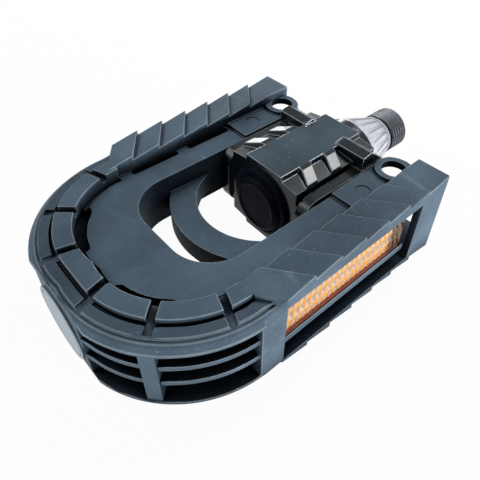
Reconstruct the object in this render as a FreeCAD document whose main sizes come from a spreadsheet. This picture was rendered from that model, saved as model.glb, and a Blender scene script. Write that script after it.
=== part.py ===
import FreeCAD, Part
import math
import os
import Sketcher

# Folding bicycle pedal, right hand, in millimetres.
# The origin is the shoulder where the spindle thread begins; +X runs along the spindle
# to the crank, +Z is up, and the platform is the same left and right of the XZ plane.

doc = FreeCAD.newDocument("folding_pedal")
sheet = doc.addObject("Spreadsheet::Sheet", "Dims")

DIMENSIONS = [
    # platform outline; distances "out" run from the shoulder away from the crank
    ("half_width", 37.5), ("arm_end", 18.6), ("tip_out", 118.0), ("corner_out", 86.0), ("corner_side", 4.2),
    ("opening_half", 18.1), ("opening_end", 90.2), ("opening_round", 12.0),
    # treads on the arms
    ("tread_wide", 10.3), ("tread_tip", 14.05), ("tread_low", 12.6), ("tooth_pitch", 8.92),
    ("first_tip", 28.0), ("tooth_lean", 7.9),
    # deck and rounded end
    ("deck_top", 9.2), ("deck_low", 6.0), ("plate_thick", 2.4), ("wall_thick", 2.2),
    ("rim_top", 11.4), ("rim_low", 12.6), ("rim_in", 23.2), ("lip_top", 10.6), ("ledge_rad", 30.6),
    ("lip_rad", 31.6), ("edge_top", 9.0), ("edge_low", 11.4),
    ("pad_ring_top", 12.7), ("pad_ring_low", 13.4), ("pad_ring_in", 22.2), ("pad_ring_out", 27.0),
    ("channel_wide", 0.9), ("channel_deep", 1.3), ("foot_wide", 1.2), ("foot_deep", 1.0),
    ("ring_out", 82.0), ("deck_rad", 28.6), ("groove_near", 25.5), ("groove_far", 36.0),
    ("groove_wide", 2.0), ("groove_low", 11.8), ("bridge_near", 29.0),
    ("bridge_far", 34.5),
    ("tip_groove_deg", 14.6), ("mid_groove_deg", 42.0), ("side_groove_deg", 71.0),
    ("slot_wide", 2.2), ("arc_slot_in", 19.3), ("arc_slot_wide", 3.6),
    # grille round the end
    ("grille_in", 25.4), ("grille_top", 8.2), ("grille_low", 10.4), ("grille_deg", 171.0), ("rib_upper", 2.7),
    ("rib_lower", 3.3), ("rib_thick", 1.6), ("rib_out", 32.5), ("post_in", 30.5), ("post_out", 38.7),
    ("post_wide", 3.6), ("tip_block_half", 10.2),
    ("badge_rad", 10.0), ("badge_drop", 1.0), ("badge_proud", 0.8),
    # crank-end pads and hinge blocks of the arms
    ("pad_step", 45.7), ("pad_end", 21.5), ("pad_top", 10.3), ("block_near", 32.0), ("cavity_side", 1.5),
    ("lobe_out", 24.8), ("lobe_side", 23.5), ("lobe_rad", 5.6), ("lobe_hole", 3.65),
    ("mark_out", 38.3), ("mark_side", 23.2), ("mark_rad", 2.3), ("mark_deep", 0.25),
    # reflector windows
    ("window_near", 30.0), ("window_far", 81.4), ("window_top", 9.5), ("window_low", 11.2),
    ("window_deep", 3.9), ("partition_deep", 5.9), ("shelf_top", 5.2), ("shelf_low", 7.6),
    ("shelf_deep", 1.5), ("reflector_thick", 1.9), ("reflector_gap", 0.1), ("reflector_near", 34.0),
    ("reflector_top", 7.4),
    # bridge across the opening
    ("strap_centre", 56.0), ("strap_in", 18.4), ("strap_wide", 7.8), ("strap_half", 3.2),
    # hinge
    ("hinge_out", 40.0), ("pin_rad", 3.0), ("pin_head_rad", 4.8), ("pin_head_thick", 2.0),
    ("pin_seat_deep", 10.9), ("pin_inner", 14.3), ("run_fit", 0.04), ("slide_fit", 0.08),
    ("slider_half", 5.0), ("slider_tall_half", 3.1),
    ("spring_rad", 1.3), ("spring_wire", 0.35), ("spring_turns", 5.0),
    # die-cast core
    ("core_near", 21.0), ("core_far", 54.8), ("core_top", 13.7), ("core_flat", 7.2),
    ("core_side", 13.4), ("core_ledge", 12.2), ("core_shoulder", 11.4), ("cheek_in", 14.2), ("cheek_out", 17.6),
    ("cheek_far", 56.0), ("cheek_near", 24.0), ("cheek_half", 10.0), ("cheek_round", 5.5),
    ("slot_near", 26.2), ("slot_far", 45.4), ("slot_floor", 13.95), ("boss_rad", 11.8),
    ("boss_near", 15.8), ("tooth_rise", 0.5), ("tooth_drop", 1.9), ("tooth_skew", 3.2),
    ("wing_front", 31.4), ("wing_back", 28.0),
    ("wing_out", 17.2), ("wing_top", 15.0),
    # bearings
    ("bore_rad", 6.6), ("ball_rad", 1.5875), ("race_gap", 0.05), ("side_gap", 0.1),
    ("near_ball_out", 21.7), ("near_ball_pitch", 7.9), ("near_balls", 13), ("near_cup_rad", 10.3),
    ("near_cup_near", 18.0), ("near_cup_far", 25.8), ("far_ball_out", 47.6), ("far_ball_pitch", 6.4),
    ("far_balls", 11), ("far_cup_rad", 9.6), ("far_cup_near", 45.0), ("far_cup_far", 50.6),
    ("shaft_rad", 5.0), ("stud_rad", 4.0), ("stud_end", 55.2), ("flange_rad", 8.2),
    ("flange_near", 16.4),
    ("cone_far", 51.0), ("cone_rad", 7.4), ("washer_thick", 0.8), ("washer_rad", 6.8), ("nut_flats", 12.0),
    ("nut_thick", 3.0),
    # cap, seal, sleeve and thread
    ("cap_seat_rad", 11.4), ("cap_seat_near", 52.6), ("cap_rim_out", 55.4), ("cap_step_rad", 8.2),
    ("cap_far", 57.8), ("cap_wall", 1.4), ("cap_bore", 9.0), ("seal_near", 15.9), ("seal_far", 17.6),
    ("seal_bore", 8.55),
    ("sleeve_far", 15.2), ("sleeve_near", 0.9), ("sleeve_flange", 1.6), ("sleeve_wide", 10.6),
    ("sleeve_narrow", 7.0), ("sleeve_ribs", 20), ("rib_rise", 0.45), ("neck_rad", 6.6),
    ("relief_rad", 6.0), ("relief_long", 0.9), ("thread_rad", 7.14), ("thread_long", 8.6),
    ("thread_chamfer", 0.9), ("socket_flats", 6.0), ("socket_deep", 7.0),
]


class Dim:
    """A length with its value and the sheet expression it comes from."""

    def __init__(self, value, text):
        self.value = value
        self.text = text

    def __add__(self, other):
        o = dim(other)
        return Dim(self.value + o.value, f"({self.text} + {o.text})")

    def __sub__(self, other):
        o = dim(other)
        return Dim(self.value - o.value, f"({self.text} - {o.text})")

    def __mul__(self, other):
        o = dim(other)
        return Dim(self.value * o.value, f"({self.text} * {o.text})")

    def __neg__(self):
        return Dim(-self.value, f"(-1 * {self.text})")

    def __radd__(self, other):
        return dim(other) + self

    def __rsub__(self, other):
        return dim(other) - self

    def __rmul__(self, other):
        return dim(other) * self


def dim(value):
    if isinstance(value, Dim):
        return value
    return Dim(float(value), repr(float(value)))


class Sizes:
    """The driving dimensions, read by name."""


d = Sizes()
for row, (name, value) in enumerate(DIMENSIONS, 1):
    sheet.set(f"A{row}", name)
    sheet.set(f"B{row}", str(value))
    sheet.setAlias(f"B{row}", name)
    setattr(d, name, Dim(float(value), f"Dims.{name}"))
doc.recompute()

# Faces that keep their depth from the platform's side.
d.tread_in = d.half_width - d.tread_wide
d.window_floor = d.half_width - d.window_deep
d.partition_in = d.half_width - d.partition_deep
d.shelf_front = d.half_width - d.shelf_deep
d.pin_seat = d.half_width - d.pin_seat_deep


def bind(obj, prop, size):
    """Give a property its value and tie it to the sheet."""
    obj.setExpression(prop, dim(size).text)


def new_body(label):
    body = doc.addObject("PartDesign::Body", label)
    body.Label = label
    return body


def origin_plane(body, role):
    return next(f for f in body.Origin.OriginFeatures if f.Role == role)


def new_sketch(body, name, role, offset=0):
    sk = body.newObject("Sketcher::SketchObject", name)
    sk.AttachmentSupport = [(origin_plane(body, role), "")]
    sk.MapMode = "FlatFace"
    size = dim(offset)
    sk.AttachmentOffset = FreeCAD.Placement(FreeCAD.Vector(0, 0, size.value), FreeCAD.Rotation())
    if size.value:
        bind(sk, "AttachmentOffset.Base.z", size)
    return sk


def fix_point(sk, geo, pos, x, y):
    """Hold a sketch point at (x, y), each tied to the sheet."""
    for kind, axis, size in (("DistanceX", -2, dim(x)), ("DistanceY", -1, dim(y))):
        if abs(size.value) < 1e-9:
            sk.addConstraint(Sketcher.Constraint("PointOnObject", geo, pos, axis))
        elif size.value > 0:
            k = sk.addConstraint(Sketcher.Constraint(kind, -1, 1, geo, pos, size.value))
            sk.setExpression(f"Constraints[{k}]", size.text)
        else:
            k = sk.addConstraint(Sketcher.Constraint(kind, geo, pos, -1, 1, -size.value))
            sk.setExpression(f"Constraints[{k}]", (-size).text)


def add_polygon(sk, points):
    """Closed polygon with every corner held by the sheet."""
    spots = [FreeCAD.Vector(dim(x).value, dim(y).value, 0) for x, y in points]
    first = sk.GeometryCount
    n = len(spots)
    for k in range(n):
        sk.addGeometry(Part.LineSegment(spots[k], spots[(k + 1) % n]), False)
    for k in range(n):
        sk.addConstraint(Sketcher.Constraint("Coincident", first + k, 2, first + (k + 1) % n, 1))
    for k, (x, y) in enumerate(points):
        fix_point(sk, first + k, 1, x, y)


def add_box(sk, x0, x1, y0, y1):
    add_polygon(sk, [(x0, y0), (x1, y0), (x1, y1), (x0, y1)])


def add_circle(sk, x, y, rad):
    size = dim(rad)
    spot = FreeCAD.Vector(dim(x).value, dim(y).value, 0)
    g = sk.addGeometry(Part.Circle(spot, FreeCAD.Vector(0, 0, 1), size.value), False)
    fix_point(sk, g, 3, x, y)
    k = sk.addConstraint(Sketcher.Constraint("Radius", g, size.value))
    sk.setExpression(f"Constraints[{k}]", size.text)


def add_axis(sk, p, q):
    """Construction line that a revolution turns about."""
    line = Part.LineSegment(FreeCAD.Vector(dim(p[0]).value, dim(p[1]).value, 0),
                            FreeCAD.Vector(dim(q[0]).value, dim(q[1]).value, 0))
    g = sk.addGeometry(line, True)
    fix_point(sk, g, 1, *p)
    fix_point(sk, g, 2, *q)


def sweep(body, kind, sk, long, symmetric=False, back=False):
    """Pad or pocket of a sketch along its normal."""
    f = body.newObject(f"PartDesign::{kind}", f"{sk.Name}_{kind.lower()}")
    f.Profile = sk
    f.Length = dim(long).value
    bind(f, "Length", long)
    if symmetric:
        f.SideType = "Symmetric"
    f.Reversed = back
    doc.recompute()
    return f


def turn(body, kind, sk, angle=360.0):
    """Revolution or groove about the sketch's construction line."""
    f = body.newObject(f"PartDesign::{kind}", f"{sk.Name}_{kind.lower()}")
    f.Profile = sk
    f.ReferenceAxis = (sk, ["Axis0"])
    f.Angle = dim(angle).value
    bind(f, "Angle", angle)
    f.Midplane = dim(angle).value < 360.0
    doc.recompute()
    return f


def mirror_whole(body):
    """Complete a right half to the whole piece across the XZ plane."""
    sk = new_sketch(body, f"{body.Name}_half", "XY_Plane", 40)
    add_box(sk, -200, 100, 0, 100)
    sweep(body, "Pocket", sk, 80)
    m = body.newObject("PartDesign::Mirrored", f"{body.Name}_mirror")
    m.TransformMode = "Whole shape"
    m.MirrorPlane = (origin_plane(body, "XZ_Plane"), [""])
    body.Tip = m
    doc.recompute()


def turned(label, profile):
    """Round piece turned about the spindle axis; profile in (x, radius)."""
    body = new_body(label)
    sk = new_sketch(body, f"{label}_profile", "XY_Plane")
    add_axis(sk, (-100, 0), (50, 0))
    add_polygon(sk, profile)
    turn(body, "Revolution", sk)
    return body


# Platform: one moulding. The right half is built and mirrored.
plat = new_body("platform_body")

# Shingle treads: seven wedges rising to the crank, their drops leaning over the width.
sk = new_sketch(plat, "tread_profile", "XZ_Plane", d.tread_in)
upper = [(10, d.tread_tip), (-(d.arm_end + d.tooth_lean), d.tread_tip)]
for k in range(6):
    drop = -(d.first_tip + d.tooth_pitch * k + d.tooth_lean)
    upper.append((drop, d.tread_low))
    upper.append((drop, d.tread_tip))
upper.append((-(d.first_tip + d.tooth_pitch * 6 + d.tooth_lean), d.tread_low))
add_polygon(sk, upper + [(x, -z) for x, z in reversed(upper)])
treads = plat.newObject("PartDesign::Pad", "treads")
treads.Profile = sk
treads.UseCustomVector = True
treads.AlongSketchNormal = True
treads.Direction = FreeCAD.Vector(d.tooth_lean.value, d.tread_in.value - d.half_width.value, 0)
bind(treads, "Length", d.half_width - d.tread_in)
doc.recompute()

# Rounded end: a rim turned about a centre in each corner and run straight on to the arm,
# the pads standing on it behind a narrow channel, and the deck with a groove at their foot.
corner_rad = d.half_width - d.corner_side


def round_corner(name, kind, *boxes, angle=180):
    """Turn boxes of (near, far, low, high) about the corner's upright axis."""
    sk = new_sketch(plat, name, "XZ_Plane", d.corner_side)
    add_axis(sk, (-d.corner_out, -20), (-d.corner_out, 20))
    for near, far, low, high in boxes:
        add_box(sk, -(d.corner_out + near), -(d.corner_out + far), low, high)
    turn(plat, kind, sk, angle)


sk = new_sketch(plat, "rim_profile", "XZ_Plane", d.corner_side)
add_axis(sk, (-d.corner_out, -20), (-d.corner_out, 20))
rim = [(d.rim_in, d.rim_top), (d.ledge_rad, d.rim_top), (d.ledge_rad, d.lip_top), (d.lip_rad, d.lip_top),
       (corner_rad, d.edge_top), (corner_rad, -d.edge_low), (d.lip_rad, -d.rim_low), (d.rim_in, -d.rim_low)]
add_polygon(sk, [(-(d.corner_out + rad), z) for rad, z in rim])
turn(plat, "Revolution", sk, 180)
sk = new_sketch(plat, "rim_side", "YZ_Plane", -(d.corner_out + 0.1))
add_polygon(sk, [(-(d.corner_side + rad), z) for rad, z in rim])
sweep(plat, "Pad", sk, d.corner_out - d.window_far + 1)
channel_far = d.pad_ring_out + d.channel_wide
channel_top = d.rim_top - d.channel_deep
channel_low = d.rim_low - d.channel_deep
round_corner("channel", "Groove", (d.pad_ring_out, channel_far, channel_top, 20),
             (d.pad_ring_out, channel_far, -20, -channel_low))
round_corner("pad_ring", "Revolution", (d.pad_ring_in, d.pad_ring_out, -d.pad_ring_low, d.pad_ring_top))
sk = new_sketch(plat, "deck_round", "XZ_Plane")
add_axis(sk, (-d.ring_out, -20), (-d.ring_out, 20))
add_box(sk, -d.ring_out, -(d.ring_out + d.deck_rad), -d.deck_low, d.deck_top)
turn(plat, "Revolution", sk, 180)
round_corner("foot_groove", "Groove",
             (d.pad_ring_in - d.foot_wide, d.pad_ring_in, d.deck_top - d.foot_deep, 20))

# Deck along the arm, crank-end pad with its rounded lobe, and the opening for the core.
sk = new_sketch(plat, "deck_arm", "XY_Plane", -d.deck_low)
add_box(sk, -(d.ring_out + 0.5), -d.pad_step, -(d.tread_in + 0.5), -2)
sweep(plat, "Pad", sk, d.deck_top + d.deck_low)
sk = new_sketch(plat, "crank_pad", "XY_Plane")
add_box(sk, -d.pad_step, -d.pad_end, -(d.tread_in + 0.5), -(d.opening_half - 1))
sweep(plat, "Pad", sk, 2 * d.pad_top, symmetric=True)
sk = new_sketch(plat, "crank_lobe", "XY_Plane")
add_circle(sk, -d.lobe_out, -d.lobe_side, d.lobe_rad)
sweep(plat, "Pad", sk, 2 * d.rim_top, symmetric=True)
sk = new_sketch(plat, "opening", "XY_Plane")
corner = d.opening_end - d.opening_round
add_polygon(sk, [(10, 2), (10, -d.opening_half), (-corner, -d.opening_half),
                 (-d.opening_end, d.opening_round - d.opening_half), (-d.opening_end, 2)])
sweep(plat, "Pocket", sk, 60, symmetric=True)
sk = new_sketch(plat, "opening_corner", "XY_Plane")
add_circle(sk, -corner, d.opening_round - d.opening_half, d.opening_round)
sweep(plat, "Pocket", sk, 60, symmetric=True)

# Crescent bridge across the outer end of the opening.
sk = new_sketch(plat, "strap", "XZ_Plane")
add_axis(sk, (-d.strap_centre, -20), (-d.strap_centre, 20))
add_box(sk, -(d.strap_centre + d.strap_in), -(d.strap_centre + d.strap_in + d.strap_wide),
        -d.strap_half, d.strap_half)
turn(plat, "Revolution", sk, 164)

# Open grille round the end: slot, two ribs, posts and the block behind the badge plate.
round_corner("grille", "Groove", (d.grille_in, corner_rad + 1, -d.grille_low, d.grille_top), angle=d.grille_deg)
half_rib = 0.5 * d.rib_thick
round_corner("ribs", "Revolution",
             (d.grille_in - 0.5, d.rib_out, d.rib_upper - half_rib, d.rib_upper + half_rib),
             (d.grille_in - 0.5, d.rib_out, -(d.rib_lower + half_rib), half_rib - d.rib_lower),
             angle=d.grille_deg + 2)


def spoke(degrees, near, far, wide):
    """Corners of a bar lying along a radius of the rounded end."""
    a = math.radians(degrees.value)
    along = (-math.cos(a), -math.sin(a))
    across = (math.sin(a) * wide.value / 2, -math.cos(a) * wide.value / 2)
    spots = []
    for rad, side in ((near, 1), (far, 1), (far, -1), (near, -1)):
        spots.append((dim(rad) * along[0] + side * across[0] - d.ring_out,
                      dim(rad) * along[1] + side * across[1]))
    return spots


post_tall = d.grille_top + d.grille_low + 0.4
sk = new_sketch(plat, "post", "XY_Plane", -(d.grille_low + 0.2))
add_polygon(sk, spoke(d.mid_groove_deg, d.post_in, d.post_out, d.post_wide))
sweep(plat, "Pad", sk, post_tall)
sk = new_sketch(plat, "tip_block", "XY_Plane", -(d.grille_low + 0.2))
add_box(sk, -d.tip_out, -(d.corner_out + d.grille_in - 0.5), -d.tip_block_half, 1)
sweep(plat, "Pad", sk, post_tall)
sk = new_sketch(plat, "tip_flat", "XY_Plane")
add_box(sk, -130, -d.tip_out, -40, 1)
sweep(plat, "Pocket", sk, 60, symmetric=True)
sk = new_sketch(plat, "badge", "YZ_Plane", -(d.tip_out - 0.5))
add_circle(sk, 0, -d.badge_drop, d.badge_rad)
sweep(plat, "Pad", sk, d.badge_proud + 0.5, back=True)

# Straight pad at the tip with its channel, then the radial grooves between the pads and
# the bridges that carry their floors across the channel.
tip_pad_far = d.corner_out + d.pad_ring_out
sk = new_sketch(plat, "tip_pad", "XY_Plane", -d.pad_ring_low)
add_box(sk, -tip_pad_far, -(d.corner_out + d.pad_ring_in), -(d.corner_side + 0.2), 1)
sweep(plat, "Pad", sk, d.pad_ring_top + d.pad_ring_low)
for name, level, up in (("tip_channel_top", channel_top, True), ("tip_channel_low", -channel_low, False)):
    sk = new_sketch(plat, name, "XY_Plane", level)
    add_box(sk, -(d.corner_out + channel_far), -tip_pad_far, -(d.corner_side + 0.2), 1)
    sweep(plat, "Pocket", sk, 4, back=up)
for name, level, up in (("pad_grooves_top", d.lip_top, True), ("pad_grooves_low", -d.groove_low, False)):
    sk = new_sketch(plat, name, "XY_Plane", level)
    for degrees in (d.tip_groove_deg, d.mid_groove_deg, d.side_groove_deg):
        add_polygon(sk, spoke(degrees, d.groove_near, d.groove_far, d.groove_wide))
    sweep(plat, "Pocket", sk, 4, back=up)
    sk = new_sketch(plat, name.replace("pad_grooves", "bridges"), "XY_Plane", level)
    for degrees in (d.tip_groove_deg, d.mid_groove_deg, d.side_groove_deg):
        add_polygon(sk, spoke(degrees, d.bridge_near, d.bridge_far, d.groove_wide))
    sweep(plat, "Pad", sk, d.channel_deep, back=up)

# Hollows: inside the arm, inside the round deck and the open channel at the crank end.
floor = -(d.deck_low - d.plate_thick)
hollow = d.deck_top + d.deck_low - 2 * d.plate_thick
sk = new_sketch(plat, "arm_hollow", "XY_Plane", floor)
add_box(sk, -(d.ring_out + 2), -(d.pad_step + d.cavity_side),
        -d.partition_in, -(d.opening_half + d.wall_thick))
sweep(plat, "Pocket", sk, hollow, back=True)
sk = new_sketch(plat, "round_hollow", "XZ_Plane")
add_axis(sk, (-d.ring_out, -20), (-d.ring_out, 20))
add_box(sk, -(d.ring_out + 20.8), -(d.ring_out + 25.2), floor, floor + hollow)
turn(plat, "Groove", sk, 172)
sk = new_sketch(plat, "tip_hollow", "XY_Plane", floor)
add_box(sk, -(d.ring_out + 22), -(d.opening_end + d.plate_thick), -9, 1)
sweep(plat, "Pocket", sk, hollow, back=True)
sk = new_sketch(plat, "crank_channel", "XY_Plane")
add_box(sk, -d.block_near, 10, -(d.half_width - d.wall_thick), -10)
sweep(plat, "Pocket", sk, 2 * (d.rim_top - d.plate_thick), symmetric=True)

# Slots with rounded ends through the deck, at the foot of the treads and of one ring pad.
slot_side = d.tread_in - 0.5 * d.slot_wide
sk = new_sketch(plat, "deck_slots", "XY_Plane", d.deck_top)
for far, near in ((81.2, 67.3), (61.5, 47.8)):
    add_box(sk, -far, -near, -d.tread_in, d.slot_wide - d.tread_in)
sweep(plat, "Pocket", sk, d.plate_thick + 0.5)
sk = new_sketch(plat, "deck_slot_ends", "XY_Plane", d.deck_top)
for out in (81.2, 67.3, 61.5, 47.8):
    add_circle(sk, -out, -slot_side, 0.5 * d.slot_wide)
sweep(plat, "Pocket", sk, d.plate_thick + 0.5)


def corner_spot(rad, degrees):
    """Point at a radius and angle about the corner's centre."""
    a = math.radians(degrees)
    return -(d.corner_out + rad * math.cos(a)), -(d.corner_side + rad * math.sin(a))


arc_slot_far = d.arc_slot_in + d.arc_slot_wide
sk = new_sketch(plat, "arc_slot", "XY_Plane", d.deck_top)
sweep_degrees = range(12, 49, 6)
add_polygon(sk, [corner_spot(d.arc_slot_in, a) for a in sweep_degrees]
            + [corner_spot(arc_slot_far, a) for a in reversed(sweep_degrees)])
sweep(plat, "Pocket", sk, d.plate_thick + 0.5)
sk = new_sketch(plat, "arc_slot_ends", "XY_Plane", d.deck_top)
for degrees in (sweep_degrees[0], sweep_degrees[-1]):
    add_circle(sk, *corner_spot(d.arc_slot_in + 0.5 * d.arc_slot_wide, degrees), 0.5 * d.arc_slot_wide)
sweep(plat, "Pocket", sk, d.plate_thick + 0.5)

# Reflector window in the side, and the shelf the reflector stands on.
sk = new_sketch(plat, "window", "XZ_Plane", d.window_floor)
add_box(sk, -d.window_far, -d.window_near, -d.window_low, d.window_top)
sweep(plat, "Pocket", sk, 6, back=True)
sk = new_sketch(plat, "shelf", "XZ_Plane", d.window_floor - 0.3)
add_box(sk, -(d.window_far + 0.3), -d.block_near, -d.shelf_low, -d.shelf_top)
sweep(plat, "Pad", sk, d.shelf_front - d.window_floor + 0.3)

# Bores: hinge pin with its head seat, vertical hole in the lobe, ejector mark.
sk = new_sketch(plat, "pin_bore", "XZ_Plane", d.opening_half - 1)
add_circle(sk, -d.hinge_out, 0, d.pin_rad)
sweep(plat, "Pocket", sk, d.window_floor, back=True)
sk = new_sketch(plat, "pin_head_seat", "XZ_Plane", d.pin_seat)
add_circle(sk, -d.hinge_out, 0, d.pin_head_rad + 0.4)
sweep(plat, "Pocket", sk, d.window_floor - d.pin_seat + 0.5, back=True)
sk = new_sketch(plat, "lobe_hole", "XY_Plane")
add_circle(sk, -d.lobe_out, -d.lobe_side, d.lobe_hole)
sweep(plat, "Pocket", sk, 60, symmetric=True)
sk = new_sketch(plat, "ejector_mark", "XY_Plane", d.pad_top)
add_circle(sk, -d.mark_out, -d.mark_side, d.mark_rad)
sweep(plat, "Pocket", sk, d.mark_deep)
sk = new_sketch(plat, "arm_trim", "XY_Plane")
add_box(sk, -d.arm_end, 60, -60, 1)
sweep(plat, "Pocket", sk, 60, symmetric=True)
mirror_whole(plat)

# Amber reflectors, one standing on the shelf in each window.
for label, side in (("reflector_right", 1), ("reflector_left", -1)):
    body = new_body(label)
    near_face = d.window_floor + d.reflector_gap
    sk = new_sketch(body, f"{label}_face", "XZ_Plane", side * near_face)
    add_box(sk, -(d.window_far - 0.3), -d.reflector_near, -(d.shelf_top - 0.1), d.reflector_top)
    sweep(body, "Pad", sk, d.reflector_thick, back=side < 0)

# Hinge: a headed pin in each arm, a slider in each cheek of the core, a spring behind it.
for tail, side in (("right", -1), ("left", 1)):
    body = new_body(f"hinge_pin_{tail}")
    sk = new_sketch(body, f"hinge_pin_{tail}_profile", "XY_Plane")
    add_axis(sk, (-d.hinge_out, -50), (-d.hinge_out, 50))
    outer = d.hinge_out + d.pin_rad
    head = d.hinge_out + d.pin_head_rad
    end = d.pin_seat + d.pin_head_thick
    add_polygon(sk, [(-d.hinge_out, side * d.pin_inner), (-outer, side * d.pin_inner),
                     (-outer, side * d.pin_seat), (-head, side * d.pin_seat),
                     (-head, side * end), (-d.hinge_out, side * end)])
    turn(body, "Revolution", sk)
    body = new_body(f"slider_{tail}")
    sk = new_sketch(body, f"slider_{tail}_face", "XZ_Plane", -side * (d.slot_floor + 0.1))
    add_box(sk, -(d.hinge_out + d.slider_half), -(d.hinge_out - d.slider_half),
            -d.slider_tall_half, d.slider_tall_half)
    add_circle(sk, -d.hinge_out, 0, d.pin_rad + d.run_fit)
    sweep(body, "Pad", sk, d.cheek_out - d.slot_floor - 0.25, back=side > 0)
    body = new_body(f"push_spring_{tail}")
    sk = new_sketch(body, f"push_spring_{tail}_wire", "XY_Plane")
    add_circle(sk, d.spring_wire, d.spring_rad, d.spring_wire)
    coil = body.newObject("PartDesign::AdditiveHelix", f"push_spring_{tail}_coil")
    coil.Profile = sk
    coil.ReferenceAxis = (sk, ["H_Axis"])
    coil.Mode = "height-turns-angle"
    spring_long = d.hinge_out - d.slider_half - d.slot_near - 0.4
    bind(coil, "Height", spring_long - 2 * d.spring_wire)
    bind(coil, "Turns", d.spring_turns)
    body.Placement = FreeCAD.Placement(FreeCAD.Vector(0, 0, 0), FreeCAD.Rotation())
    bind(body, "Placement.Base.x", d.slider_half - d.hinge_out + 0.2)
    bind(body, "Placement.Base.y", side * 0.5 * (d.slot_floor + d.cheek_out))
    doc.recompute()

# Core: one die casting. The right half is built and mirrored.
core = new_body("core_barrel")
sk = new_sketch(core, "core_section", "YZ_Plane", -d.core_far)
upper = [(1, d.core_top), (-d.core_flat, d.core_top), (-(d.core_flat + 0.3), d.core_ledge),
         (-d.core_side, d.core_shoulder)]
add_polygon(sk, upper + [(y, -z) for y, z in reversed(upper)])
sweep(core, "Pad", sk, d.core_far - d.core_near)
sk = new_sketch(core, "crank_boss", "YZ_Plane", -(d.core_near + 1))
add_circle(sk, 0, 0, d.boss_rad)
sweep(core, "Pad", sk, d.core_near + 1 - d.boss_near)

# Cheek plate with a rounded nose, standing off the barrel's upper and lower edges.
sk = new_sketch(core, "cheek", "XZ_Plane", d.core_side - 0.5)
nose = d.cheek_far - d.cheek_round
half = d.cheek_half - d.cheek_round
add_polygon(sk, [(-d.cheek_near, -d.cheek_half), (-d.cheek_near, d.cheek_half), (-nose, d.cheek_half),
                 (-d.cheek_far, half), (-d.cheek_far, -half), (-nose, -d.cheek_half)])
sweep(core, "Pad", sk, d.cheek_out - d.core_side + 0.5)
sk = new_sketch(core, "cheek_nose", "XZ_Plane", d.core_side - 0.5)
add_circle(sk, -nose, half, d.cheek_round)
add_circle(sk, -nose, -half, d.cheek_round)
sweep(core, "Pad", sk, d.cheek_out - d.core_side + 0.5)

# Wedge teeth on the ledges along both edges, trimmed level with the flat, and the big wings
# at the crank end.
for name, sign in (("teeth_top", 1), ("teeth_low", -1)):
    sk = new_sketch(core, name, "XZ_Plane", d.core_flat)
    low = sign * (d.core_top - 2.6)
    high = sign * (d.core_top + d.tooth_rise)
    for front in (47.2, 37.3):
        add_polygon(sk, [(-front - 2.0, low), (-front, high), (4.0 - front, high), (4.7 - front, low)])
    block = core.newObject("PartDesign::Pad", f"{name}_pad")
    block.Profile = sk
    block.UseCustomVector = True
    block.AlongSketchNormal = True
    block.Direction = FreeCAD.Vector(-d.tooth_skew.value, d.core_flat.value - d.core_side.value,
                                     -sign * d.tooth_drop.value)
    bind(block, "Length", d.core_side - d.core_flat)
    doc.recompute()
sk = new_sketch(core, "teeth_trim", "YZ_Plane", -(d.core_far + 8))
add_box(sk, -d.cheek_out, 1, d.core_top, 20)
add_box(sk, -d.cheek_out, 1, -20, -d.core_top)
sweep(core, "Pocket", sk, d.core_far + 8 - d.wing_front, back=True)
sk = new_sketch(core, "wings", "XZ_Plane", d.core_flat - 1.0)
for sign in (1, -1):
    add_polygon(sk, [(-d.wing_front, sign * 7.2), (-d.wing_front, sign * (d.wing_top - 0.7)),
                     (-d.wing_back, sign * d.wing_top), (-d.core_near - 1.0, sign * 10.6),
                     (-d.core_near - 1.0, sign * 7.2)])
sweep(core, "Pad", sk, d.wing_out - d.core_flat + 1.0)
sk = new_sketch(core, "end_trim", "YZ_Plane", -(d.core_far + 8))
add_box(sk, -d.cheek_in, 1, -20, 20)
sweep(core, "Pocket", sk, 8, back=True)
sk = new_sketch(core, "cheek_groove", "YZ_Plane", -(d.cheek_far + 1))
add_box(sk, -d.cheek_in, -d.core_side, 7.5, 13)
add_box(sk, -d.cheek_in, -d.core_side, -13, -7.5)
sweep(core, "Pocket", sk, d.cheek_far + 1 - d.wing_front - 0.6, back=True)
sk = new_sketch(core, "slider_slot", "XZ_Plane", d.slot_floor)
add_box(sk, -d.slot_far, -d.slot_near, -(d.slider_tall_half + d.slide_fit), d.slider_tall_half + d.slide_fit)
sweep(core, "Pocket", sk, 6, back=True)
sk = new_sketch(core, "core_bore", "XY_Plane")
add_axis(sk, (-100, 0), (50, 0))
add_polygon(sk, [(-70, 0), (-70, d.cap_seat_rad), (-d.cap_seat_near, d.cap_seat_rad),
                 (-d.cap_seat_near, d.far_cup_rad), (-d.far_cup_near, d.far_cup_rad),
                 (-d.far_cup_near, d.bore_rad), (-d.near_cup_far, d.bore_rad),
                 (-d.near_cup_far, d.near_cup_rad), (-10, d.near_cup_rad), (-10, 0)])
turn(core, "Groove", sk)
mirror_whole(core)

# Bearings: cups pressed in the core, loose balls, adjustable cone, tab washer and lock nut.
near_race = d.near_ball_pitch + d.ball_rad + d.race_gap
near_side = d.near_ball_out + d.ball_rad + d.side_gap
turned("near_cup", [(-d.near_cup_far, d.bore_rad + 0.4), (-d.near_cup_far, d.near_cup_rad),
                    (-d.near_cup_near, d.near_cup_rad), (-d.near_cup_near, near_race),
                    (-near_side, near_race), (-near_side, d.bore_rad + 0.4)])
far_race = d.far_ball_pitch + d.ball_rad + d.race_gap
far_side = d.far_ball_out - d.ball_rad - d.side_gap
turned("far_cup", [(-d.far_cup_far, far_race), (-d.far_cup_far, d.far_cup_rad),
                   (-d.far_cup_near, d.far_cup_rad), (-d.far_cup_near, d.shaft_rad + 0.6),
                   (-far_side, d.shaft_rad + 0.6), (-far_side, far_race)])
far_cone = d.far_ball_pitch - d.ball_rad - d.race_gap
cone_face = d.far_ball_out + d.ball_rad + d.side_gap
cone_near = d.far_ball_out - 1.2
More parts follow.
